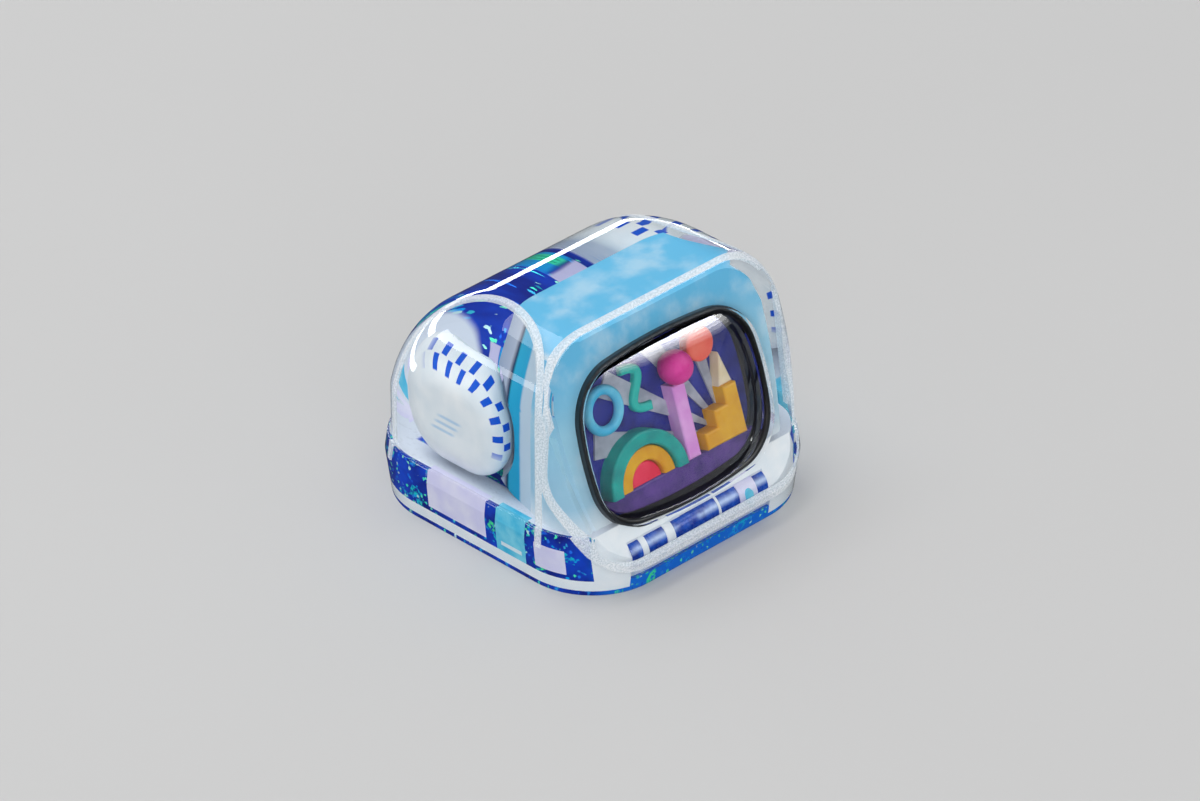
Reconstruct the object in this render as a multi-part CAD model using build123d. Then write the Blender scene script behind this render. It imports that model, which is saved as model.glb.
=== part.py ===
from build123d import *
import math
import os

os.makedirs("parts", exist_ok=True)

# Artisan keycap of clear cast resin. Millimetres, +Z up, window towards -Y,
# origin at the middle of the bottom rim.

# Skirt, the lower tier
skirt_width = 18.4        # across the widest edge
skirt_corner = 4.6        # corner radius in plan at the widest edge
skirt_edge_level = 2.8    # height of the widest edge
skirt_top = 3.85          # height of the ledge under the dome
foot_inset = 0.3          # the foot is this much inside the widest edge
ledge_inset = 0.12        # so is the top edge of the skirt
foot_round = 0.45         # rounding of the bottom edge
lip_level = 1.6           # the front slope starts at this height

# Dome, the upper tier
dome_top = 14.15          # overall height of the clear resin
dome_inset = 0.3          # ledge between the skirt's widest edge and the dome
dome_root = 0.4           # the dome goes this far into the skirt
shoulder_round = 3.8      # rounding between the roof, the sides and the back
back_wall = 0.8           # upright part of the back, above the skirt
front_round = 0.7         # rounding of the front's edge
front_lean = 18.6         # front lean, degrees from upright
front_setback = 1.384     # the front's foot lies this far behind the skirt's widest edge

# Frosted seam
seam_width = 0.38
seam_depth = 0.25
seam_proud = 0.05         # stands out of the clear resin by this much
seam_foot = 0.3           # its lowest bend lies this far behind the skirt's widest edge
seam_bends = ((1.89, 0.238), (-0.075, 0.733), (0.22, 0.937))   # behind the front, share of dome height
seam_rounds = (0.8, 3.0, 3.0, 1.5)
seam_border = 0.28        # the seam keeps to this border of the front
side_arch_depth = 3.4     # the side arches reach in by this much from the skirt's widest edge
side_arch_radius = 7.2    # their radius in plan
side_arch_start = 4.28    # their front leg stands this far behind the skirt's front edge

# Base casting and its blocks
cover = 0.6               # clear resin over the base, sideways
base_top = 3.6
block_depth = 0.9         # the inlaid blocks go in this far
block_foot = 1.25         # height of the blocks' lower face
corner_block_top = 2.75
long_block = (8.4, 12.8)  # reach of the side blocks, behind the skirt's front edge
cyan_block = (5.4, 7.6)
corner_block = (2.95, 4.7)
back_block = (0.9, 4.3)   # reach of a back block along X
back_cyan_width = 1.0
rim_wall = 2.6            # skirt's widest edge to the hollow underside, at its wide step
rim_cavity_top = 1.2
cavity_wall = 4.0         # and above the step
cavity_corner = 1.6
cavity_top = 2.9
stem_diameter = 5.6
stem_foot = 0.5           # the stem stops this far above the rim
boss_diameter = 7.4
boss_top = 4.9
cross_length = 4.1        # cross socket arms
cross_width = 1.3
cross_depth = 3.7

# Milky chin under the window, its lip round the foot, and the bar in its bay
chin_depth = 1.25         # front to back
lip_foot = 0.3            # the chin and the lip start this far above the rim
lip_top = 0.95
lip_depth = 0.9
strip_top = 0.8           # the base shows up to here in the bay under the bar
bay_slack = 0.1           # clear resin over the bar in the bay
bar_diameter = 1.2
bar_reach = (-5.6, 4.65)  # ends of the bar along X
bar_level = 1.9
bar_setback = 1.35        # the bar's axis lies this far behind the skirt's widest edge
ring_proud = 0.08
ring_sink = 0.15          # the rings go into the bar by this much
ring_spans = ((-4.8, -4.4), (-3.0, -2.4), (0.9, 1.05))   # along X
sleeve_span = (2.5, 3.8)  # the sleeve on the bar, along X
sleeve_proud = 0.1
sleeve_sink = 0.3
button_width = 0.55
button_height = 0.9
button_thickness = 0.3
button_sink = 0.2         # the button goes into the sleeve by this much

# Inner shell and pods
shell_cover = 1.1         # clear resin over the shell
shell_setback = 9.6       # the shell's back face lies this far behind the skirt's front edge
shell_back_round = 2.5
shell_plan_round = 5.0
shell_gap = 0.35          # clear resin between the shell and the side arches
pod_width = 7.2           # along Y
pod_height = 6.0
pod_thickness = 3.4
pod_corner = 2.7
pod_edge = 1.4
pod_setback = 11.5        # its middle lies this far behind the skirt's front edge
pod_level = 6.95
pod_cover = 1.15          # clear resin over the pod
pod_gap = 0.4             # clear resin between the pod and the shell

# Window
window_width = 13.6       # outside the black rim
window_head = 2.12        # front between the window and the roof
window_drop = 1.05        # the window goes this far below the front's foot
window_bulge = 0.55       # the sides of the outline bow out by this much
window_corner = 3.3
rim_width = 0.42
rim_sink = 0.3            # the rim lies this far below the clear front
rim_round = 0.2
tub_depth = 2.4
tub_floor = 0.4
lens_radius = 20.0
lens_thickness = 0.6
lens_apex = 0.62          # the lens stands this far out of the clear front
board_thickness = 0.25
board_gap = 0.1           # round the board

# Relief in the window, in the window's own plane: across and up from its middle
ray_thickness = 0.12
ray_hub = (4.3, -2.7)
ray_length = 9.4
ray_spread = 9.0          # degrees, each ray
ray_turns = (98, 121, 143, 163)
ground_level = -2.9       # top of the ground strip
ground_thickness = 0.7
arch_place = -2.2
arch_size = 2.8           # outside radius of the largest arch
arch_band = 0.8
arch_gap = 0.05
arch_count = 3
arch_thickness = 1.0      # of the largest arch
arch_step = 0.2           # each smaller arch is thinner by this much
post_place = 1.15
post_width = 0.9
post_height = 4.2
post_thickness = 0.9
ball_diameter = 1.9
step_place = 2.1
step_width = 0.95
step_rise = 0.95
step_count = 3
step_thickness = 0.95
cone_width = 0.95
cone_height = 1.8
cone_thickness = 0.7
hoop_place = (-3.7, 1.7)
hoop_radius = 1.1
hoop_wire = 0.55
disc_place = (3.5, 2.6)
disc_radius = 0.95
disc_thickness = 0.6
ribbon_bends = ((-2.0, 3.2), (-0.9, 2.5), (-1.5, 1.4), (-0.4, 0.7))
ribbon_width = 0.5
ribbon_thickness = 0.4
relief_round = 0.14

skirt_half = skirt_width / 2
dome_half = skirt_half - dome_inset
edge_slack = 0.01
lean = math.radians(front_lean)
back_radius = dome_top - skirt_top - back_wall
window_height = (dome_top - skirt_top) / math.cos(lean) + window_drop - window_head
window_level = skirt_top + (window_height / 2 - window_drop) * math.cos(lean)


def front_at(level):
    return -skirt_half + front_setback + (level - skirt_top) * math.tan(lean)


def outline(half, front, back, front_round, back_round):
    corners = ((half, front), (half, back), (-half, back), (-half, front))
    radii = (front_round, back_round, back_round, front_round)
    return make_face(FilletPolyline(*corners, radius=radii, close=True))


# Clear dome, or a copy of it that lies inside by the inset
def dome(inset=0.0):
    half = dome_half - inset
    top = dome_top - inset
    root = skirt_top - dome_root
    bend = back_radius - inset
    walls = Polyline((half, top - bend), (half, root), (front_at(root) + inset, root),
                     (front_at(top) + inset, top), (half - bend, top))
    back = CenterArc((half - bend, top - bend), bend, 0, 90)
    side = make_face(Plane.YZ * (walls + back))
    block = extrude(side, half, both=True)
    flanks = block.faces().sort_by(Axis.X)
    shoulders = [edge for flank in (flanks[0], flanks[-1]) for edge in flank.edges()
                 if edge.center().Y > front_at(edge.center().Z) + inset + edge_slack
                 and edge.center().Z > root + edge_slack]
    block = fillet(shoulders, shoulder_round - inset)
    if inset < front_round:
        front = block.faces().filter_by(lambda face: face.normal_at().Y < -0.9)[0]
        rim = [edge for edge in front.edges() if edge.center().Z > root + edge_slack]
        block = fillet(rim, front_round - inset)
    corner = skirt_corner - dome_inset - inset
    return block & Pos(0, 0, root) * extrude(outline(half, -half, half, corner, corner), top)


# Two-tier skirt with its sloped front, or a copy that lies inside by the inset
def skirt(inset=0.0):
    levels = (0.0, skirt_edge_level, skirt_top)
    insets = (foot_inset, 0.0, ledge_inset)
    sections = []
    for level, own in zip(levels, insets):
        half = skirt_half - own - inset
        corner = skirt_corner - own - inset
        sections.append(Pos(0, 0, level) * outline(half, -half, half, corner, corner))
    tier = loft(sections, ruled=True)
    slope_top = front_at(skirt_top)
    slope = make_face(Plane.YZ * Polyline(
        (-skirt_half + inset, lip_level), (slope_top + inset, skirt_top), (slope_top + inset, dome_top),
        (-skirt_width, dome_top), (-skirt_width, lip_level), close=True))
    return tier - extrude(slope, skirt_width, both=True)


def node(name, solid):
    export_step(solid, f"parts/{name}.step")
    return solid


def slab(x_reach, y_reach, z_reach):
    corners = [Vector(*low) for low in zip(x_reach, y_reach, z_reach)]
    return Pos(*((corners[0] + corners[1]) / 2)) * Box(*(corners[1] - corners[0]))


far = skirt_width         # longer than the part in any direction

# Window plane: X across, Y up the lean, Z out of the front
window = Plane((0, front_at(window_level), window_level), x_dir=(1, 0, 0),
               z_dir=(0, -math.cos(lean), math.sin(lean)))


# The window's bowed outline, drawn in by the inset
def window_outline(inset=0.0):
    half_x = window_width / 2 - inset
    half_y = window_height / 2 - inset
    x = half_x - window_bulge
    y = half_y - window_bulge
    sides = [ThreePointArc((-x, y), (0, half_y), (x, y)), ThreePointArc((x, y), (half_x, 0), (x, -y)),
             ThreePointArc((x, -y), (0, -half_y), (-x, -y)), ThreePointArc((-x, -y), (-half_x, 0), (-x, y))]
    sheet = make_face(sides)
    return fillet(sheet.vertices(), window_corner - inset)


tub_back = -rim_sink - tub_depth
floor_level = tub_back + tub_floor
board_level = floor_level + board_thickness


# A flat piece of relief that stands on the board, with its front edge rounded
def relief(sketch, thickness, foot=board_level):
    piece = extrude(window.offset(foot) * sketch, thickness)
    front = piece.faces().sort_by(lambda face: face.center().dot(window.z_dir))[-1]
    return fillet(front.edges(), relief_round)


# Window pieces
tub_seat = extrude(window.offset(tub_back) * window_outline(), far)
tub = extrude(window.offset(tub_back) * window_outline(), tub_depth)
tub -= extrude(window.offset(floor_level) * window_outline(rim_width), far)
rim = tub.faces().sort_by(lambda face: face.center().dot(window.z_dir))[-1]
tub = fillet(rim.edges(), rim_round)
node("window_tub", tub)
board = window.offset(floor_level) * window_outline(rim_width + board_gap)
node("backdrop", extrude(board, board_thickness))

ball_of_lens = window * Pos(0, 0, lens_apex - lens_radius)
lens_blank = extrude(window.offset(floor_level) * window_outline(rim_width), far)
lens_bowl = Sphere(lens_radius) - Sphere(lens_radius - lens_thickness)
node("lens", lens_blank & ball_of_lens * lens_bowl)

# Relief pieces, all standing on the board
board_edge = window_outline(rim_width + board_gap + relief_round)
ground = relief(Pos(0, ground_level - far / 2) * Rectangle(far, far) & board_edge, ground_thickness)
above_ground = window * Pos(0, ground_level + far / 2) * Box(far, far, far)
arches = []
for rank in range(arch_count):
    reach = arch_size - rank * (arch_band + arch_gap)
    band = Circle(reach)
    if reach > 2 * arch_band:
        band -= Circle(reach - arch_band)
    hoops = relief(Pos(arch_place, ground_level) * band, arch_thickness - rank * arch_step)
    arches.append(hoops & above_ground)
post_top = ground_level + post_height
post_outline = Pos(post_place, (ground_level + post_top) / 2) * Rectangle(post_width, post_height)
post = relief(post_outline, post_thickness)
ball_radius = ball_diameter / 2
ball = window * Pos(post_place, post_top + ball_radius, board_level + ball_radius) * Sphere(ball_radius)
stairs = Sketch()
for step in range(step_count):
    rise = step_rise * (step + 1)
    middle = step_place + step_width * (step + 0.5)
    stairs += Pos(middle, ground_level + rise / 2) * Rectangle(step_width, rise)
steps = relief(stairs, step_thickness)
cone_foot = ground_level + step_rise * step_count
cone_middle = step_place + step_width * (step_count - 0.5)
cone_outline = make_face(Polyline(
    (cone_middle - cone_width / 2, cone_foot), (cone_middle + cone_width / 2, cone_foot),
    (cone_middle, cone_foot + cone_height), close=True))
cone = relief(cone_outline, cone_thickness)
hoop = window * Pos(*hoop_place, board_level + hoop_wire / 2) * Torus(hoop_radius, hoop_wire / 2)
disc = relief(Pos(*disc_place) * Circle(disc_radius), disc_thickness)
ribbon = relief(trace(Spline(*ribbon_bends), ribbon_width), ribbon_thickness)
fan = Sketch()
ray_half = ray_length * math.tan(math.radians(ray_spread / 2))
ray = make_face(Polyline((0, 0), (ray_length, ray_half), (ray_length, -ray_half), close=True))
for turn in ray_turns:
    fan += Pos(*ray_hub) * Rot(0, 0, turn) * ray
rays = extrude(window.offset(board_level) * (fan & board_edge), ray_thickness)
for piece in [ground, *arches, post, ball, steps, cone, hoop, disc, ribbon]:
    rays -= piece
node("ground_strip", ground)
node("teal_arch", arches[0])
node("mustard_arch", arches[1])
node("red_hill", arches[2])
node("lilac_post", post)
node("magenta_ball", ball)
node("steps", steps)
node("cream_cone", cone)
node("cyan_hoop", hoop)
node("coral_disc", disc)
node("teal_ribbon", ribbon)
node("rays", rays)

# Bar under the window, with its rings, sleeve and button
bar_front = -skirt_half + bar_setback
bar_axis = Pos(0, bar_front, bar_level) * Rot(0, 90, 0)
bar_middle = sum(bar_reach) / 2
bar = bar_axis * Pos(0, 0, bar_middle) * Cylinder(bar_diameter / 2, bar_reach[1] - bar_reach[0])


# A band round the bar
def bar_band(span, proud, sink):
    start, end = span
    band = Cylinder(bar_diameter / 2 + proud, end - start) - Cylinder(bar_diameter / 2 - sink, end - start)
    return bar_axis * Pos(0, 0, (start + end) / 2) * band


rings = Part()
for span in ring_spans:
    rings += bar_band(span, ring_proud, ring_sink)
sleeve = bar_band(sleeve_span, sleeve_proud, sleeve_sink)
button_face = bar_front - bar_diameter / 2 - sleeve_proud
button = Pos(sum(sleeve_span) / 2, button_face + button_sink, bar_level) * Rot(90, 0, 0) * extrude(
    SlotOverall(button_height, button_width, rotation=90), button_thickness)
bar -= rings
bar -= sleeve
sleeve -= button
bar -= button
node("front_bar", bar)
node("bar_rings", rings)
node("front_block", sleeve)
node("front_button", button)
bar_group = [bar, rings, sleeve, button]

# Pods
pods = {}
for side, name in ((-1, "left_pod"), (1, "right_pod")):
    face = Plane((side * (dome_half - pod_cover), -skirt_half + pod_setback, pod_level),
                 x_dir=(0, 1, 0), z_dir=(-side, 0, 0))
    pod = extrude(face * RectangleRounded(pod_width, pod_height, pod_corner), pod_thickness)
    flats = pod.faces().filter_by(Axis.X)
    pods[name] = node(name, fillet(flats.edges(), pod_edge))

# Base casting with its blocks, hollow underside and cross socket
footprint = skirt(cover) & slab((-far, far), (-far, far), (0, base_top))
bay_top = bar_level + bar_diameter / 2 + sleeve_proud + bay_slack
bar_bay = footprint & slab(bar_reach, (-far, bar_front), (strip_top, bay_top))
chin_back = -skirt_half + cover + chin_depth
chin_space = slab((-far, far), (-far, chin_back), (lip_foot, base_top))
chin_space += slab((-far, far), (-far, far), (lip_foot, lip_top)) - skirt(cover + lip_depth)
chin_space -= slab(bar_reach, (-far, bar_front), (lip_foot, bay_top))
band = footprint - skirt(cover + block_depth)
block_levels = (block_foot, base_top)
side_blocks = (("long", long_block, block_levels), ("cyan", cyan_block, (lip_top, base_top)),
               ("corner", corner_block, (block_foot, corner_block_top)))
blocks = {}
for side, name in ((-1, "left"), (1, "right")):
    beside = sorted((side * (skirt_half - skirt_corner), side * far))
    for kind, behind, levels in side_blocks:
        reach = [-skirt_half + edge for edge in behind]
        blocks[f"{name}_{kind}_block"] = band & slab(beside, reach, levels)
    blocks[f"back_{name}_block"] = band & slab(sorted(side * x for x in back_block), (0, far), block_levels)
blocks["back_cyan_block"] = band & slab((-back_cyan_width / 2, back_cyan_width / 2), (0, far), block_levels)
for name, block in blocks.items():
    node(name, block)

upright = (Align.CENTER, Align.CENTER, Align.MIN)
boss = Cylinder(boss_diameter / 2, boss_top, align=upright)
base = footprint + boss
for wall, top in ((rim_wall, rim_cavity_top), (cavity_wall, cavity_top)):
    width = skirt_width - 2 * wall
    base -= extrude(RectangleRounded(width, width, cavity_corner), top)
base += Pos(0, 0, stem_foot) * Cylinder(stem_diameter / 2, cavity_top - stem_foot, align=upright)
for length, width in ((cross_length, cross_width), (cross_width, cross_length)):
    base -= Pos(0, 0, stem_foot) * Box(length, width, cross_depth, align=upright)
base -= chin_space
base -= bar_bay
for piece in [tub_seat, *blocks.values(), *bar_group]:
    base -= piece
node("glitter_base", base)

chin = footprint & chin_space
for piece in [tub_seat, *bar_group]:
    chin -= piece
node("chin", chin)

# Inner shell round the tub
shell_top = dome_top - shell_cover
shell_back = -skirt_half + shell_setback
shell_profile = make_face(Plane.YZ * FilletPolyline(
    (-far, base_top), (shell_back, base_top), (shell_back, shell_top), (-far, shell_top),
    radius=(0, shell_back_round, 0, 0), close=True))
shell_plan = outline(dome_half, -far, shell_back, 0, shell_plan_round)
shell = dome(shell_cover) & extrude(shell_profile, far, both=True) & extrude(shell_plan, far)
for piece in [tub_seat, boss]:
    shell -= piece
for pod in pods.values():
    shell -= offset(pod, pod_gap)
arch_side = skirt_half - side_arch_depth + side_arch_radius
arch_reach = math.sqrt(side_arch_radius ** 2 - (arch_side - dome_half) ** 2)
arch_front = -skirt_half + side_arch_start + arch_reach
arch_cut = Cylinder(side_arch_radius + shell_gap, far, align=upright)
for side in (-1, 1):
    shell -= Pos(side * arch_side, arch_front, 0) * arch_cut
node("inner_shell", shell)

# Frosted seam: a bent plate and two upright rings, kept only in the skin
bends = [(-skirt_half + seam_foot, lip_level)]
for behind, share in seam_bends:
    level = skirt_top + share * (dome_top - skirt_top)
    bends.append((front_at(level) + behind, level))
path = FilletPolyline((-far, lip_level), *bends, (bends[-1][0], far), radius=seam_rounds)
seam_space = extrude(Plane.YZ * trace(path, seam_width), far, both=True)
for side in (-1, 1):
    ring = Circle(side_arch_radius + seam_width / 2) - Circle(side_arch_radius - seam_width / 2)
    seam_space += Pos(side * arch_side, arch_front, skirt_edge_level) * extrude(ring, far)
panel_half = dome_half - seam_border
panel_top = (dome_top - window_level) / math.cos(lean) - seam_border
panel_foot = (lip_level - window_level) / math.cos(lean) + seam_border
panel_round = shoulder_round - seam_border
panel = make_face(FilletPolyline(
    (-panel_half, panel_foot), (panel_half, panel_foot), (panel_half, panel_top), (-panel_half, panel_top),
    radius=panel_round, close=True))
seam_space -= extrude(window.offset(-seam_depth - edge_slack) * panel, far)
skin = dome(-seam_proud) + skirt(-seam_proud)
skin -= dome(seam_depth)
skin -= skirt(seam_depth)
seam = skin & seam_space
node("frosted_seam", seam)

# Clear resin round it all
clear = skirt() + dome()
clear = fillet(clear.edges().group_by(Axis.Z)[0], foot_round)
castings = [footprint - bar_bay, boss, shell, seam, *pods.values(), *blocks.values()]
for piece in [tub_seat, *bar_group, *castings]:
    clear -= piece
node("clear_body", clear)
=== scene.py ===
import math
import bmesh
import bpy
from mathutils import Matrix, Vector


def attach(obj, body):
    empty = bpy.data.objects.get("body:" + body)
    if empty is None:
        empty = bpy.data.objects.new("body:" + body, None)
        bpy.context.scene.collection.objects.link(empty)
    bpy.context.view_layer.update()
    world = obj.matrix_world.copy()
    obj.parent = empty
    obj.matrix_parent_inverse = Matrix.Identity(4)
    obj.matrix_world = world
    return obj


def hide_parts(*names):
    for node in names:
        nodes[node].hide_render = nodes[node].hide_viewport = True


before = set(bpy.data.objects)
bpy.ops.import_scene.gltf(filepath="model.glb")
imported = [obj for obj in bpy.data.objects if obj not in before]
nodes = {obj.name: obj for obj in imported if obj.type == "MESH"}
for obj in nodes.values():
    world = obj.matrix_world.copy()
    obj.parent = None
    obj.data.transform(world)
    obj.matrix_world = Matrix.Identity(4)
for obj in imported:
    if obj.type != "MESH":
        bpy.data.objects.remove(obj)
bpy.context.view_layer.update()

mm = 0.001
tiny = 0.01
print("frame loaded,", len(nodes), "pieces")


# Modelling helpers: shapes are made in millimetres and brought to metres when they are finished

def startShape():
    if bpy.context.object and bpy.context.object.mode != "OBJECT":
        bpy.ops.object.mode_set(mode="OBJECT")
    bpy.ops.object.select_all(action="DESELECT")


def choose(piece):
    startShape()
    bpy.context.view_layer.objects.active = piece
    piece.select_set(True)


def applyTransforms():
    bpy.ops.object.transform_apply(location=True, rotation=True, scale=True)


def addBox(low, high):
    startShape()
    middle = [(a + b) / 2 for a, b in zip(low, high)]
    size = [b - a for a, b in zip(low, high)]
    bpy.ops.mesh.primitive_cube_add(size=1, location=middle, scale=size)
    applyTransforms()
    bpy.ops.object.mode_set(mode="EDIT")
    return bpy.context.object


def pickEdges(test):
    mesh = bmesh.from_edit_mesh(bpy.context.object.data)
    bpy.ops.mesh.select_all(action="DESELECT")
    bpy.ops.mesh.select_mode(type="EDGE")
    for edge in mesh.edges:
        edge.select_set(bool(test(*[vert.co for vert in edge.verts])))
    bmesh.update_edit_mesh(bpy.context.object.data)


def pickVerts(test):
    mesh = bmesh.from_edit_mesh(bpy.context.object.data)
    bpy.ops.mesh.select_all(action="DESELECT")
    bpy.ops.mesh.select_mode(type="VERT")
    for vert in mesh.verts:
        vert.select_set(bool(test(vert.co)))
    mesh.select_flush(True)
    bmesh.update_edit_mesh(bpy.context.object.data)


def roundEdges(width, steps, affect="EDGES"):
    bpy.ops.mesh.bevel(offset=width, segments=steps, affect=affect, clamp_overlap=False)


def useModifier(piece, kind, **settings):
    choose(piece)
    modifier = piece.modifiers.new(kind.title(), kind)
    for name, value in settings.items():
        setattr(modifier, name, value)
    bpy.ops.object.modifier_apply(modifier=modifier.name)


def combine(piece, tool, operation):
    useModifier(piece, "BOOLEAN", object=tool, operation=operation, solver="EXACT")
    bpy.data.objects.remove(tool)


def finishPiece(piece, name, slot, smoothAngle, *replaced):
    choose(piece)
    piece.name = name
    piece.scale = (mm, mm, mm)
    applyTransforms()
    bpy.ops.object.shade_smooth_by_angle(angle=math.radians(smoothAngle))
    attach(piece, "root")
    if replaced:
        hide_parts(*replaced)
    return piece


# Shader helpers: a wire is a socket that takes part in sums, a finish is a material or the world

class Wire:
    def __init__(self, tree, socket):
        self.tree = tree
        self.socket = socket

    def maths(self, operation, *values):
        node = self.tree.nodes.new("ShaderNodeMath")
        node.operation = operation
        for place, value in enumerate(values or [self]):
            plug(self.tree, node.inputs[place], value)
        return Wire(self.tree, node.outputs[0])

    def __add__(self, other):
        return self.maths("ADD", self, other)

    def __radd__(self, other):
        return self.maths("ADD", other, self)

    def __sub__(self, other):
        return self.maths("SUBTRACT", self, other)

    def __rsub__(self, other):
        return self.maths("SUBTRACT", other, self)

    def __mul__(self, other):
        return self.maths("MULTIPLY", self, other)

    def __rmul__(self, other):
        return self.maths("MULTIPLY", other, self)

    def __truediv__(self, other):
        return self.maths("DIVIDE", self, other)

    def __gt__(self, other):
        return self.maths("GREATER_THAN", self, other)

    def __lt__(self, other):
        return self.maths("LESS_THAN", self, other)

    def __mod__(self, other):
        return self.maths("FLOORED_MODULO", self, other)

    def __abs__(self):
        return self.maths("ABSOLUTE")

    def most(self, other):
        return self.maths("MAXIMUM", self, other)

    def angleFrom(self, along):
        return self.maths("ARCTAN2", self, along)


def plug(tree, socket, value):
    if isinstance(value, Wire):
        tree.links.new(value.socket, socket)
    else:
        socket.default_value = value


class Finish:
    def __init__(self, name, owner=None, **fixed):
        self.owner = owner or bpy.data.materials.new(name)
        self.owner.use_nodes = True
        self.tree = self.owner.node_tree
        self.shader = self.tree.nodes["Background" if owner else "Principled BSDF"]
        for socket, value in fixed.items():
            self.feed(socket.replace("_", " "), value)

    def feed(self, socket, value):
        plug(self.tree, self.shader.inputs[socket], value)

    def node(self, kind, settings=None, sockets=None, output=0):
        made = self.tree.nodes.new("ShaderNode" + kind)
        for name, value in (settings or {}).items():
            if name == "stops":
                ramp = made.color_ramp
                while len(ramp.elements) < len(value):
                    ramp.elements.new(0.5)
                for element, (place, colour) in zip(ramp.elements, value):
                    element.position = place
                    element.color = colour
            else:
                setattr(made, name, value)
        for name, value in (sockets or {}).items():
            plug(self.tree, made.inputs[name], value)
        return Wire(self.tree, made.outputs[output])

    # Another output of the node behind a wire
    def beside(self, wire, output):
        return Wire(self.tree, wire.socket.node.outputs[output])

    def show(self, shader):
        last = [node for node in self.tree.nodes if node.bl_idname.startswith("ShaderNodeOutput")][0]
        self.tree.links.new(shader.socket, last.inputs["Surface"])

    # Object coordinates in millimetres, and the three of them apart
    def place(self, middle=(0, 0, 0)):
        where = self.node("TexCoord", output="Object")
        return self.node("Mapping", {"vector_type": "POINT"}, {
            "Vector": where, "Scale": [1 / mm] * 3, "Location": [-value for value in middle]})

    def axes(self, where):
        split = self.node("SeparateXYZ", None, {"Vector": where})
        return [self.beside(split, axis) for axis in "XYZ"]

    def noise(self, where, perMm, detail=3.0):
        return self.node("TexNoise", None, {"Vector": where, "Scale": perMm, "Detail": detail})

    # A random colour for each cell
    def cells(self, where, perMm):
        return self.node("TexVoronoi", None, {"Vector": where, "Scale": perMm}, "Color")

    def ramp(self, value, *stops):
        return self.node("ValToRGB", {"stops": stops}, {"Fac": value})

    def clouds(self, where, perMm, colour, paler, low=0.35, high=0.75, detail=4.0):
        return self.ramp(self.noise(where, perMm, detail), (low, colour), (high, paler))

    # The colours of a Mix node are its inputs 6 and 7 and its output 2
    def blend(self, share, first, second):
        return self.node("Mix", {"data_type": "RGBA"}, {"Factor": share, 6: first, 7: second}, 2)

    def smoothStep(self, value, low, high):
        return self.node("MapRange", {"interpolation_type": "SMOOTHSTEP"}, {
            "Value": value, "From Min": low, "From Max": high})

    def between(self, value, low, high, soft=0.03):
        past = self.smoothStep(value, high - soft, high + soft)
        return self.smoothStep(value, low - soft, low + soft) * (1 - past)

    def rough(self, where, least, spread, perMm=4.0):
        self.feed("Roughness", least + spread * self.noise(where, perMm, 2.0))

    def bump(self, height, strength, depthMm):
        self.feed("Normal", self.node("Bump", None, {
            "Height": height, "Strength": strength, "Distance": depthMm * mm}))


def paint(finish, *names):
    for name in names:
        nodes[name].data.materials.clear()
        nodes[name].data.materials.append(finish.owner)


# A colour in the usual steps from 0 to 255, made linear, and a grey that is linear already
def rgb(red, green, blue):
    shares = [value / 255 for value in (red, green, blue)]
    return [((share + 0.055) / 1.055) ** 2.4 if share > 0.04 else share / 12.92 for share in shares] + [1]


def grey(tone):
    return [tone, tone, tone, 1]


# Clear resin skin: dome and skirt in one, hollow only where the window and the base go in

dome = {
    "half": 8.9, "root": 3.45, "top": 14.15, "frontFoot": -7.951, "frontTop": -4.35,
    "backRound": 9.5, "backSteps": 30, "shoulder": 3.8, "shoulderSteps": 16,
    "rim": 0.55, "rimSteps": 6, "planCorner": 4.3, "planSteps": 20,
}
skirt = {
    "foot": 0.02, "footHalf": 8.9, "footRound": 0.4, "footSteps": 5, "corner": 4.3, "cornerSteps": 18,
    "edge": 2.8, "edgeHalf": 9.2, "ledge": 3.85, "ledgeHalf": 9.08, "ledgeRound": 0.1, "ledgeSteps": 3,
    "lip": 1.6, "slopeTop": -7.816,
}
window = {"lean": 18.6, "level": 7.498, "y": -6.588, "tubBack": -2.8, "weld": 0.001, "flatAngle": 0.5}
pocket = {"growX": 1.06, "growY": 1.085, "aboveBack": 0.2, "mouth": 6}
well = {
    "half": 7.4, "foot": -1, "top": 3.2, "corner": 3.0, "cornerSteps": 8,
    "bossRadius": 3.2, "bossTop": 4.5, "bossSides": 48,
}
skin = {"smoothAngle": 32, "normalWeight": 80}


def domeShape():
    half, root, top = dome["half"], dome["root"], dome["top"]
    lean = dome["frontTop"] - dome["frontFoot"]

    def onFront(v):
        return v.y < dome["frontFoot"] + (v.z - root) * lean / (top - root) + tiny

    def atRoot(a, b):
        return max(a.z, b.z) < root + tiny

    def onSide(a, b):
        return min(abs(a.x), abs(b.x)) > half - tiny and a.x * b.x > 0

    piece = addBox((-half, dome["frontFoot"], root), (half, half, top))
    pickVerts(lambda v: v.z > top - tiny and v.y < 0)
    bpy.ops.transform.translate(value=(0, lean, 0))
    pickEdges(lambda a, b: min(a.z, b.z) > top - tiny and min(a.y, b.y) > 0)
    roundEdges(dome["backRound"], dome["backSteps"])
    pickEdges(lambda a, b: onSide(a, b) and not (onFront(a) and onFront(b)) and not atRoot(a, b))
    roundEdges(dome["shoulder"], dome["shoulderSteps"])
    pickEdges(lambda a, b: onFront(a) and onFront(b) and not atRoot(a, b))
    roundEdges(dome["rim"], dome["rimSteps"])
    reach = half + tiny
    plan = addBox((-reach, -reach, 0), (reach, reach, 2 * top))
    pickEdges(lambda a, b: abs(a.z - b.z) > top)
    roundEdges(dome["planCorner"], dome["planSteps"])
    combine(piece, plan, "INTERSECT")
    return piece


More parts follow.
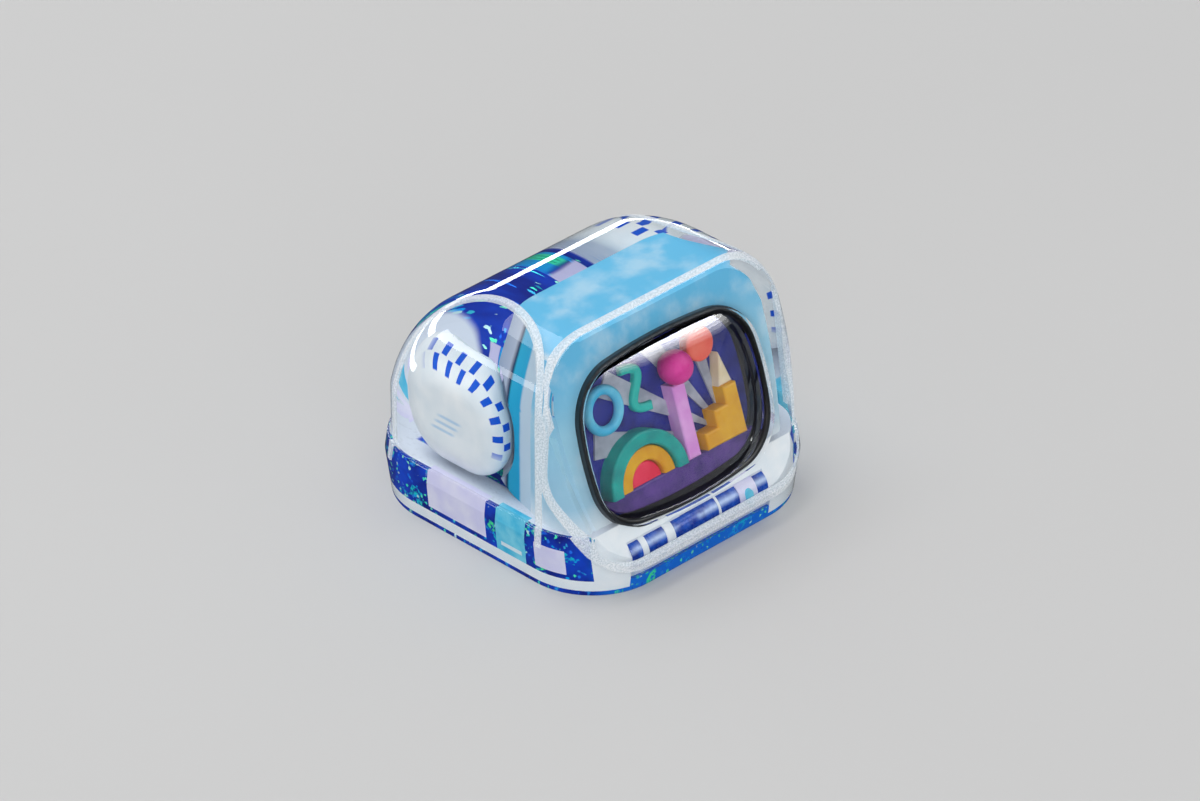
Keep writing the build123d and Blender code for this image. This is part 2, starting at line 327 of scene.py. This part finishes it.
def skirtShape():
    s = skirt
    startShape()
    bpy.ops.mesh.primitive_plane_add(size=2 * s["footHalf"], location=(0, 0, s["foot"]))
    applyTransforms()
    piece = bpy.context.object
    bpy.ops.object.mode_set(mode="EDIT")
    bpy.ops.mesh.select_all(action="SELECT")
    roundEdges(s["corner"], s["cornerSteps"], "VERTICES")
    below, halfBelow = s["foot"], s["footHalf"]
    for level, half in ((s["edge"], s["edgeHalf"]), (s["ledge"], s["ledgeHalf"])):
        growth = half / halfBelow
        bpy.ops.mesh.extrude_region_move(TRANSFORM_OT_translate={"value": (0, 0, level - below)})
        bpy.ops.transform.resize(value=(growth, growth, 1), center_override=(0, 0, level))
        below, halfBelow = level, half
    bpy.ops.mesh.select_all(action="SELECT")
    bpy.ops.mesh.normals_make_consistent(inside=False)
    rise = s["ledge"] - s["lip"]
    run = s["slopeTop"] + s["edgeHalf"]
    outward = Vector((0, -rise, run)).normalized()
    bpy.ops.mesh.bisect(plane_co=(0, -s["edgeHalf"], s["lip"]), plane_no=outward,
                        use_fill=True, clear_outer=True)
    pickEdges(lambda a, b: max(a.z, b.z) < s["foot"] + tiny)
    roundEdges(s["footRound"], s["footSteps"])
    pickEdges(lambda a, b: min(a.z, b.z) > s["ledge"] - tiny and max(a.y, b.y) > s["slopeTop"] + tiny)
    roundEdges(s["ledgeRound"], s["ledgeSteps"])
    bpy.ops.object.mode_set(mode="OBJECT")
    return piece


# The window's own outline, taken from the board in the tub, as a bar along the window's axis
def windowBar(growX, growY, low, high):
    bar = nodes["backdrop"].copy()
    bar.data = nodes["backdrop"].data.copy()
    bar.parent = None
    bar.rotation_mode = "XYZ"
    bpy.context.scene.collection.objects.link(bar)
    choose(bar)
    bar.data.materials.clear()
    bar.scale = (1 / mm, 1 / mm, 1 / mm)
    applyTransforms()
    bar.location = (0, -window["y"], -window["level"])
    applyTransforms()
    bar.rotation_euler = (-math.radians(90 - window["lean"]), 0, 0)
    applyTransforms()
    bpy.ops.object.mode_set(mode="EDIT")
    bpy.ops.mesh.select_all(action="SELECT")
    bpy.ops.mesh.remove_doubles(threshold=window["weld"])
    bpy.ops.mesh.dissolve_limited(angle_limit=math.radians(window["flatAngle"]))
    levels = [v.co.z for v in bmesh.from_edit_mesh(bar.data).verts]
    middle = (min(levels) + max(levels)) / 2
    pickVerts(lambda v: v.z <= middle)
    bpy.ops.transform.translate(value=(0, 0, low - min(levels)))
    pickVerts(lambda v: v.z > middle)
    bpy.ops.transform.translate(value=(0, 0, high - max(levels)))
    bpy.ops.mesh.select_all(action="SELECT")
    bpy.ops.transform.resize(value=(growX, growY, 1), center_override=(0, 0, 0))
    bpy.ops.object.mode_set(mode="OBJECT")
    return bar


def toWindow(piece):
    choose(piece)
    piece.rotation_euler = (math.radians(90 - window["lean"]), 0, 0)
    piece.location = (0, window["y"], window["level"])
    applyTransforms()
    return piece


def wellShape():
    box = addBox((-well["half"], -well["half"], well["foot"]), (well["half"], well["half"], well["top"]))
    pickEdges(lambda a, b: abs(a.z - b.z) > well["top"])
    roundEdges(well["corner"], well["cornerSteps"])
    bpy.ops.object.mode_set(mode="OBJECT")
    return box


def bossShape():
    startShape()
    bpy.ops.mesh.primitive_cylinder_add(vertices=well["bossSides"], radius=well["bossRadius"],
                                        depth=well["bossTop"], location=(0, 0, well["bossTop"] / 2))
    applyTransforms()
    return bpy.context.object


resin = domeShape()
combine(resin, skirtShape(), "UNION")
pocketFloor = window["tubBack"] + pocket["aboveBack"]
pocketBar = windowBar(pocket["growX"], pocket["growY"], pocketFloor, pocket["mouth"])
combine(resin, toWindow(pocketBar), "DIFFERENCE")
combine(resin, wellShape(), "DIFFERENCE")
combine(resin, bossShape(), "DIFFERENCE")
finishPiece(resin, "resin_skin", "clear_resin", skin["smoothAngle"], "clear_body")
useModifier(resin, "WEIGHTED_NORMAL", keep_sharp=True, weight=skin["normalWeight"])
print("clear skin", len(resin.data.polygons), "faces")


# Lens: a cap of a large ball, trimmed to the window

lens = {
    "radius": 20.0, "thickness": 0.6, "apex": 0.62, "segments": 160, "rings": 180,
    "capFoot": -2.6, "fit": 1.015, "trim": (-4, 4), "smoothAngle": 40,
}


def lensShape():
    startShape()
    ballMiddle = (0, 0, lens["apex"] - lens["radius"])
    bpy.ops.mesh.primitive_uv_sphere_add(segments=lens["segments"], ring_count=lens["rings"],
                                         radius=lens["radius"], location=ballMiddle)
    applyTransforms()
    piece = bpy.context.object
    bpy.ops.object.mode_set(mode="EDIT")
    bpy.ops.mesh.select_all(action="SELECT")
    bpy.ops.mesh.bisect(plane_co=(0, 0, lens["capFoot"]), plane_no=(0, 0, 1), clear_inner=True)
    bpy.ops.object.mode_set(mode="OBJECT")
    useModifier(piece, "SOLIDIFY", thickness=lens["thickness"], offset=-1)
    combine(piece, windowBar(lens["fit"], lens["fit"], *lens["trim"]), "INTERSECT")
    return toWindow(piece)


cover = finishPiece(lensShape(), "window_lens", "lens_resin", lens["smoothAngle"], "lens")
print("lens", len(cover.data.polygons), "faces")


# Clear finish: shadow and diffuse rays go straight through, so that the castings inside stay lit

clear = {
    "ior": 1.5, "resinTint": [0.95, 0.98, 1.0, 1], "lensTint": [0.97, 0.98, 1.0, 1],
    "smudgesPerMm": 0.35, "smudgeDetail": 4.0, "smudgeRange": (0.52, 0.75), "smudgeRoughness": 0.02,
    "wavesPerMm": 0.5, "waveDetail": 1.0, "waveStrength": 0.08, "waveDepth": 0.05,
}


def clearFinish(name, tint):
    finish = Finish(name, Base_Color=tint, IOR=clear["ior"], Transmission_Weight=1.0)
    where = finish.place()
    smudges = finish.noise(where, clear["smudgesPerMm"], clear["smudgeDetail"])
    waves = finish.noise(where, clear["wavesPerMm"], clear["waveDetail"])
    finish.feed("Roughness", clear["smudgeRoughness"] * finish.smoothStep(smudges, *clear["smudgeRange"]))
    finish.bump(waves, clear["waveStrength"], clear["waveDepth"])
    shadow = finish.node("LightPath", output="Is Shadow Ray")
    diffuse = finish.beside(shadow, "Is Diffuse Ray")
    glass = Wire(finish.tree, finish.shader.outputs[0])
    through = finish.node("BsdfTransparent", None, {"Color": tint})
    finish.show(finish.node("MixShader", None, {0: shadow.most(diffuse), 1: glass, 2: through}))
    return finish


resin.data.materials.append(clearFinish("clear_resin", clear["resinTint"]).owner)
cover.data.materials.append(clearFinish("lens_resin", clear["lensTint"]).owner)


# Satin finish of the opaque castings: two tones in soft clouds, with a fine grain

satin = {"cloudsPerMm": 0.9, "roughSpread": 0.12, "grainPerMm": 9.0, "grainDepth": 0.03}


def satinFinish(name, colour, paler, roughness=0.38, grain=0.15, shine=0.2):
    finish = Finish(name, Specular_IOR_Level=shine)
    where = finish.place()
    finish.feed("Base Color", finish.clouds(where, satin["cloudsPerMm"], colour, paler))
    finish.rough(where, roughness, satin["roughSpread"])
    finish.bump(finish.noise(where, satin["grainPerMm"]), grain, satin["grainDepth"])
    return finish


lavender = satinFinish("lavender", rgb(220, 216, 248), rgb(238, 235, 252))
paint(lavender, *[f"{side}_{kind}_block" for side in ("left", "right") for kind in ("long", "corner")],
      "back_left_block", "back_right_block", "front_block")
milky = satinFinish("milky_white", rgb(238, 244, 248), rgb(251, 252, 253))
paint(milky, "chin", "bar_rings")
blackRim = satinFinish("black_rim", rgb(3, 5, 9), rgb(10, 13, 20), roughness=0.32, grain=0.0, shine=0.4)
paint(blackRim, "window_tub")
board = satinFinish("navy_board", rgb(14, 26, 116), rgb(42, 56, 168))
paint(board, "backdrop")

toyColours = {
    "ground_strip": ("purple", rgb(62, 36, 116), rgb(106, 68, 160)),
    "teal_arch": ("teal", rgb(0, 144, 138), rgb(6, 182, 168)),
    "teal_ribbon": ("teal_light", rgb(0, 178, 164), rgb(46, 206, 190)),
    "mustard_arch": ("mustard", rgb(226, 154, 0), rgb(246, 186, 24)),
    "steps": ("ochre", rgb(230, 162, 4), rgb(248, 194, 40)),
    "red_hill": ("red", rgb(240, 18, 66), rgb(255, 62, 100)),
    "lilac_post": ("lilac", rgb(230, 150, 226), rgb(244, 184, 240)),
    "magenta_ball": ("magenta", rgb(214, 18, 138), rgb(240, 62, 166)),
    "cream_cone": ("cream", rgb(238, 220, 178), rgb(250, 238, 210)),
    "coral_disc": ("coral", rgb(250, 84, 66), rgb(255, 124, 98)),
    "rays": ("silver_grey", rgb(150, 156, 170), rgb(204, 208, 218)),
}
for name, (word, colour, paler) in toyColours.items():
    paint(satinFinish(word, colour, paler, roughness=0.42, grain=0.25), name)
print("satin castings done")


# Frosted seam: see-through white with a sugary grain

seam = {
    "shade": rgb(234, 243, 249), "light": rgb(252, 253, 255), "lightRange": (0.35, 0.62),
    "alpha": 0.42, "alphaSpread": 0.18, "alphaRange": (0.35, 0.65), "roughness": 0.4, "roughSpread": 0.3,
    "grain": 0.05, "grainDepth": 0.03, "grainPerMm": 11.0, "shine": 0.2,
}
frost = Finish("frosted_white", Specular_IOR_Level=seam["shine"])
sugar = frost.noise(frost.place(), seam["grainPerMm"])
shadeAt, lightAt = seam["lightRange"]
frost.feed("Base Color", frost.ramp(sugar, (shadeAt, seam["shade"]), (lightAt, seam["light"])))
frost.feed("Roughness", seam["roughness"] + seam["roughSpread"] * sugar)
frost.feed("Alpha", seam["alpha"] + seam["alphaSpread"] * frost.smoothStep(sugar, *seam["alphaRange"]))
frost.bump(sugar, seam["grain"], seam["grainDepth"])
paint(frost, "frosted_seam")


# Glitter base: cloudy blue with fine flakes and larger green patches, with painted light that makes the
# front brighter, with a floor that is white near the flanks and the back and has a few bars inlaid in it

glitter = {
    "deep": rgb(0, 20, 122), "bright": rgb(0, 70, 208), "cloudsPerMm": 0.6, "cloudDetail": 3.0,
    "deepAt": 0.3, "brightAt": 0.7, "strip": rgb(0, 112, 222), "stripY": (-7.0, -8.0), "shine": 0.15,
    "patches": ((0.0, rgb(0, 150, 235)), (0.5, rgb(10, 200, 205)), (1.0, rgb(70, 235, 140))),
    "patchesPerMm": 1.5, "patchPick": 0.8, "patchEdgePerMm": 4.0, "patchEdge": (0.42, 0.62),
    "flakes": (
        (0.0, rgb(0, 190, 255)), (0.35, rgb(40, 110, 255)),
        (0.7, rgb(80, 255, 200)), (1.0, rgb(215, 245, 255))),
    "flakesPerMm": 7.0, "flakePick": 0.9, "flakeMetal": 0.5, "roughness": 0.45, "flakeGloss": 0.2,
    "floor": rgb(226, 232, 243), "floorLevel": 3.45, "blueHalf": 5.0, "blueBack": 6.0, "fade": 0.3,
    "inlay": rgb(208, 202, 234), "inlayX": (2.5, 4.6), "frontBarY": (4.2, 4.86), "backBarY": (5.08, 5.75),
    "thinBarY": (4.9, 5.04),
}
base = Finish("blue_glitter", Specular_IOR_Level=glitter["shine"])
where = base.place()
baseX, baseY, baseZ = base.axes(where)
cloudy = base.clouds(where, glitter["cloudsPerMm"], glitter["deep"], glitter["bright"],
                     glitter["deepAt"], glitter["brightAt"], glitter["cloudDetail"])
# Painted light: the front of the base is blended to a brighter blue, as where the lamps fall on it
cloudy = base.blend(base.smoothStep(baseY, *glitter["stripY"]), cloudy, glitter["strip"])
patchPick, patchHue = base.axes(base.cells(where, glitter["patchesPerMm"]))[:2]
patchEdge = base.smoothStep(base.noise(where, glitter["patchEdgePerMm"]), *glitter["patchEdge"])
patchColour = base.ramp(patchHue, *glitter["patches"])
flakePick, flakeHue = base.axes(base.cells(where, glitter["flakesPerMm"]))[:2]
flakeShare = flakePick > glitter["flakePick"]
blue = base.blend((patchPick > glitter["patchPick"]) * patchEdge, cloudy, patchColour)
blue = base.blend(flakeShare, blue, base.ramp(flakeHue, *glitter["flakes"]))
onFloor = baseZ > glitter["floorLevel"]
nearFlank = base.smoothStep(abs(baseX), glitter["blueHalf"], glitter["blueHalf"] + glitter["fade"])
nearBack = base.smoothStep(baseY, glitter["blueBack"], glitter["blueBack"] + glitter["fade"])
whiteFloor = onFloor * nearFlank.most(nearBack)
inlay = onFloor * base.between(baseX, *glitter["inlayX"])
bars = inlay * base.between(baseY, *glitter["frontBarY"]).most(base.between(baseY, *glitter["backBarY"]))
thinBar = inlay * base.between(baseY, *glitter["thinBarY"])
topped = base.blend(whiteFloor, blue, glitter["floor"])
topped = base.blend(bars, topped, glitter["inlay"])
base.feed("Base Color", base.blend(thinBar, topped, patchColour))
base.feed("Metallic", flakeShare * (1 - whiteFloor.most(bars)) * glitter["flakeMetal"])
base.feed("Roughness", glitter["roughness"] - glitter["flakeGloss"] * flakeShare)
paint(base, "glitter_base")


# Cyan blocks with a white dash near the foot

cyan = {
    "deep": rgb(62, 188, 228), "pale": rgb(136, 222, 243), "cloudsPerMm": 0.9,
    "dash": rgb(226, 242, 250), "dashY": (-3.5, -1.95), "dashZ": (1.35, 1.6),
    "roughness": 0.38, "roughSpread": 0.1, "shine": 0.2,
}
cyanFinish = Finish("cyan", Specular_IOR_Level=cyan["shine"])
where = cyanFinish.place()
cyanY, cyanZ = cyanFinish.axes(where)[1:]
dash = cyanFinish.between(cyanY, *cyan["dashY"]) * cyanFinish.between(cyanZ, *cyan["dashZ"])
tone = cyanFinish.clouds(where, cyan["cloudsPerMm"], cyan["deep"], cyan["pale"])
cyanFinish.feed("Base Color", cyanFinish.blend(dash, tone, cyan["dash"]))
cyanFinish.rough(where, cyan["roughness"], cyan["roughSpread"])
paint(cyanFinish, "left_cyan_block", "right_cyan_block", "back_cyan_block", "front_button", "cyan_hoop")


# Inner shell: blue at the roof, paler down the front and white at the foot, with pale clouds, and streaks on
# the side walls behind the arches

shell = {
    "tones": (
        (0.06, rgb(238, 244, 248)), (0.2, rgb(172, 212, 233)),
        (0.6, rgb(164, 217, 240)), (0.9, rgb(108, 196, 236))),
    "foot": 3.9, "height": 10.0, "drift": 1.8, "driftPerMm": 0.4,
    "cloud": rgb(222, 240, 249), "cloudShare": 0.5, "cloudsPerMm": 0.45, "cloudDetail": 5.0,
    "cloudRange": (0.44, 0.72),
    "wallHalf": 6.8, "wallTurn": (0.5, 0.6), "wallFront": -4.0, "wallLength": 6.0,
    "streaks": (
        (0.0, rgb(206, 226, 240)), (0.3, rgb(206, 226, 240)), (0.33, rgb(36, 178, 224)),
        (0.48, rgb(48, 188, 228)), (0.51, rgb(18, 40, 84)), (0.56, rgb(196, 206, 224)),
        (0.72, rgb(168, 184, 208)), (0.78, rgb(22, 48, 96)), (0.84, rgb(210, 218, 232))),
    "waver": 0.03, "waverPerMm": 0.7, "waverDetail": 2.0,
    "roughness": 0.45, "roughSpread": 0.1, "roughPerMm": 5.0, "shine": 0.15,
}
shellFinish = Finish("pale_blue", Specular_IOR_Level=shell["shine"])
where = shellFinish.place()
shellX, shellY, shellZ = shellFinish.axes(where)
level = shellZ + shell["drift"] * shellFinish.noise(where, shell["driftPerMm"]) - shell["foot"]
tone = shellFinish.ramp(level / shell["height"], *shell["tones"])
cloud = shellFinish.noise(where, shell["cloudsPerMm"], shell["cloudDetail"])
cloud = shellFinish.smoothStep(cloud, *shell["cloudRange"])
tone = shellFinish.blend(cloud * shell["cloudShare"], tone, shell["cloud"])
turned = shellFinish.axes(shellFinish.node("NewGeometry", output="Normal"))[0]
wall = shellFinish.smoothStep(abs(turned), *shell["wallTurn"]) * (abs(shellX) < shell["wallHalf"])
along = (shellY - shell["wallFront"]) / shell["wallLength"]
along = along + shell["waver"] * shellFinish.noise(where, shell["waverPerMm"], shell["waverDetail"])
shellFinish.feed("Base Color", shellFinish.blend(wall, tone, shellFinish.ramp(along, *shell["streaks"])))
shellFinish.rough(where, shell["roughness"], shell["roughSpread"], shell["roughPerMm"])
paint(shellFinish, "inner_shell")


# Pods: white with two rows of blue dashes round the upper front edge and pale strokes in the middle

pod = {
    "y": 2.3, "z": 6.95, "face": 7.75,
    "shade": rgb(232, 239, 244), "light": rgb(250, 252, 253), "cloudsPerMm": 0.7,
    "dash": rgb(0, 88, 214), "dashes": 19, "dashShare": 0.36, "dashTurn": (-0.045, 0.36),
    "outerRow": (0.3, 1.0), "innerRow": (1.08, 2.0), "innerShift": 0.45,
    "stroke": rgb(120, 185, 232), "strokeShare": 0.5, "strokePitch": 0.42, "strokeBand": (0.05, 0.22),
    "strokeSoft": 0.05, "strokeFoot": -0.95, "strokeTop": 0.3, "strokeLean": 0.6, "strokeRun": (-0.7, 0.9),
    "strokeFade": 0.25,
    "roughness": 0.4, "roughSpread": 0.1, "shine": 0.2,
}
podFinish = Finish("pod_white", Specular_IOR_Level=pod["shine"])
where = podFinish.place((0, pod["y"], pod["z"]))
podX, podY, podZ = podFinish.axes(where)
deep = pod["face"] - abs(podX)
turn = podZ.angleFrom(-1 * podY) / math.tau
beat = turn * pod["dashes"]
outerRow = podFinish.between(deep, *pod["outerRow"]) * ((beat % 1) < pod["dashShare"])
innerRow = podFinish.between(deep, *pod["innerRow"]) * (((beat + pod["innerShift"]) % 1) < pod["dashShare"])
dashes = outerRow.most(innerRow) * podFinish.between(turn, *pod["dashTurn"])
strokePlace = (podZ - pod["strokeFoot"]) % pod["strokePitch"]
strokes = podFinish.between(strokePlace, *pod["strokeBand"], pod["strokeSoft"])
strokes = strokes * podFinish.between(podZ, pod["strokeFoot"], pod["strokeTop"])
strokes = strokes * podFinish.between(podY + podZ * pod["strokeLean"], *pod["strokeRun"], pod["strokeFade"])
tone = podFinish.clouds(where, pod["cloudsPerMm"], pod["shade"], pod["light"])
tone = podFinish.blend(strokes * pod["strokeShare"], tone, pod["stroke"])
podFinish.feed("Base Color", podFinish.blend(dashes, tone, pod["dash"]))
podFinish.rough(where, pod["roughness"], pod["roughSpread"])
paint(podFinish, "left_pod", "right_pod")


# Bar: dark blue with a painted highlight streak along its upper front

frontBar = {
    "y": -7.85, "z": 1.9,
    "deep": rgb(4, 46, 150), "bright": rgb(22, 92, 205), "brightAt": 0.7, "cloudsPerMm": 1.4,
    "paintedHighlight": rgb(190, 212, 244), "paintedHighlightShare": 0.75, "paintedHighlightZ": (0.22, 0.5), "paintedHighlightSoft": 0.14,
    "paintedHighlightPerMm": 0.8, "paintedHighlightRange": (0.35, 0.6), "roughness": 0.22, "roughSpread": 0.1, "shine": 0.4,
}
barFinish = Finish("bar_blue", Specular_IOR_Level=frontBar["shine"])
where = barFinish.place((0, frontBar["y"], frontBar["z"]))
barZ = barFinish.axes(where)[2]
# The pale streak along the upper front is a painted highlight, broken up into patches
highlightPatches = barFinish.smoothStep(barFinish.noise(where, frontBar["paintedHighlightPerMm"]), *frontBar["paintedHighlightRange"])
paintedHighlight = barFinish.between(barZ, *frontBar["paintedHighlightZ"], frontBar["paintedHighlightSoft"]) * highlightPatches
tone = barFinish.clouds(where, frontBar["cloudsPerMm"], frontBar["deep"], frontBar["bright"],
                        high=frontBar["brightAt"])
barFinish.feed("Base Color", barFinish.blend(paintedHighlight * frontBar["paintedHighlightShare"], tone, frontBar["paintedHighlight"]))
barFinish.rough(where, frontBar["roughness"], frontBar["roughSpread"])
paint(barFinish, "front_bar")
print("finishes done")


# Floor: an even pale grey, which the gloss doesn't see

floorPlane = {
    "size": 3.0, "level": -0.00003, "tone": 0.6, "spread": 0.01, "cloudsPerMm": 0.02, "cloudDetail": 2.0,
    "darkAt": 0.3, "lightAt": 0.7, "roughness": 0.9, "shine": 0.1,
}
startShape()
bpy.ops.mesh.primitive_plane_add(size=floorPlane["size"], location=(0, 0, floorPlane["level"]))
floor = bpy.context.object
floor.name = "floor"
floorFinish = Finish("pale_floor", Roughness=floorPlane["roughness"], Specular_IOR_Level=floorPlane["shine"])
darker = grey(floorPlane["tone"] * (1 - floorPlane["spread"]))
lighter = grey(floorPlane["tone"] * (1 + floorPlane["spread"]))
tone = floorFinish.clouds(floorFinish.place(), floorPlane["cloudsPerMm"], darker, lighter,
                          floorPlane["darkAt"], floorPlane["lightAt"], floorPlane["cloudDetail"])
floorFinish.feed("Base Color", tone)
floor.data.materials.append(floorFinish.owner)
floor.visible_glossy = False


# Lamps, in metres: two light the piece, the cards show only in the gloss, and the lens has cards of its own

lamps = {
    "overhead": {
        "start": (-0.3, 0.2, 0.5), "end": (0.1, 0.2, 0.5), "height": 0.35, "radiance": 2.9, "card": False},
    "front_fill": {
        "start": (-0.5, -0.3, 0.22), "end": (-0.1, -0.55, 0.22), "height": 0.25, "radiance": 2.2,
        "card": False},
    "front_card": {
        "start": (0.04, -0.35, 0.27), "end": (0.34, -0.11, 0.27), "height": 0.26, "radiance": 5},
    "back_card": {
        "start": (0.309, 0.164, 0.01), "end": (-0.061, 0.345, 0.01), "height": 0.028, "radiance": 7},
    "left_card": {
        "start": (-0.09, 0.338, 0.05), "end": (-0.303, 0.175, 0.05), "height": 0.05, "radiance": 4},
    "low_card": {
        "start": (0.085, 0.34, -0.024), "end": (-0.142, 0.32, -0.1), "height": 0.02, "radiance": 6},
}
lensCard = {
    "start": Vector((0.045, -0.363, 0.148)), "end": Vector((0.337, -0.143, 0.005)), "height": 0.0055,
    "radiances": (1, 2.5, 5, 8, 11, 13),
}
aimLevel = 0.006


# A flat lamp whose long side goes from start to end and which faces the piece
def stripLamp(name, start, end, height, radiance, card=True, onto=None):
    start, end = Vector(start), Vector(end)
    middle = (start + end) / 2
    across = (end - start).normalized()
    away = (middle - across * middle.dot(across)).normalized()
    light = bpy.data.lights.new(name, "AREA")
    light.shape = "RECTANGLE"
    light.size = (end - start).length
    light.size_y = height
    light.energy = radiance * math.pi * light.size * height
    lamp = bpy.data.objects.new(name, light)
    bpy.context.scene.collection.objects.link(lamp)
    lamp.location = middle + Vector((0, 0, aimLevel))
    lamp.rotation_euler = Matrix((across, away.cross(across), away)).transposed().to_euler()
    lamp.visible_diffuse = not card
    lamp.light_linking.receiver_collection = onto


for name, lamp in lamps.items():
    stripLamp(name, **lamp)
lensOnly = bpy.data.collections.new("lens_only")
lensOnly.objects.link(cover)
for step, radiance in enumerate(lensCard["radiances"]):
    rise = Vector((0, 0, lensCard["height"] * (step + 0.5)))
    stripLamp("lens_card", lensCard["start"] + rise, lensCard["end"] + rise, lensCard["height"], radiance,
              onto=lensOnly)


# Sky: an even grey, with darker tones where a surface mirrors it

sky = {"tone": 0.6, "mirrored": ((0.0, 0.05), (0.3, 0.05), (0.7, 0.11), (1.0, 0.3))}
world = bpy.data.worlds.new("studio")
bpy.context.scene.world = world
skyFinish = Finish("studio", world)
glossy = skyFinish.node("LightPath", output="Is Glossy Ray")
mirrored = glossy * (1 - skyFinish.beside(glossy, "Is Transmission Ray"))
upward = skyFinish.axes(skyFinish.node("TexCoord", output="Generated"))[2]
mirroredSky = skyFinish.ramp(upward, *[(place, grey(tone)) for place, tone in sky["mirrored"]])
skyFinish.feed("Color", skyFinish.blend(mirrored, grey(sky["tone"]), mirroredSky))


# Camera

view = {
    "direction": (-0.6, -0.6, 0.53), "target": (0.28, -0.28, 5.58), "distance": 0.4,
    "lens": 224, "sensor": 36, "clipStart": 0.01,
}
eye = bpy.data.objects.new("camera", bpy.data.cameras.new("camera"))
bpy.context.scene.collection.objects.link(eye)
back = Vector(view["direction"]).normalized()
eye.location = Vector(view["target"]) * mm + back * view["distance"]
eye.rotation_euler = back.to_track_quat("Z", "Y").to_euler()
eye.data.lens = view["lens"]
eye.data.sensor_width = view["sensor"]
eye.data.clip_start = view["clipStart"]
bpy.context.scene.camera = eye
bpy.context.scene.view_settings.view_transform = "Standard"
print("studio done")
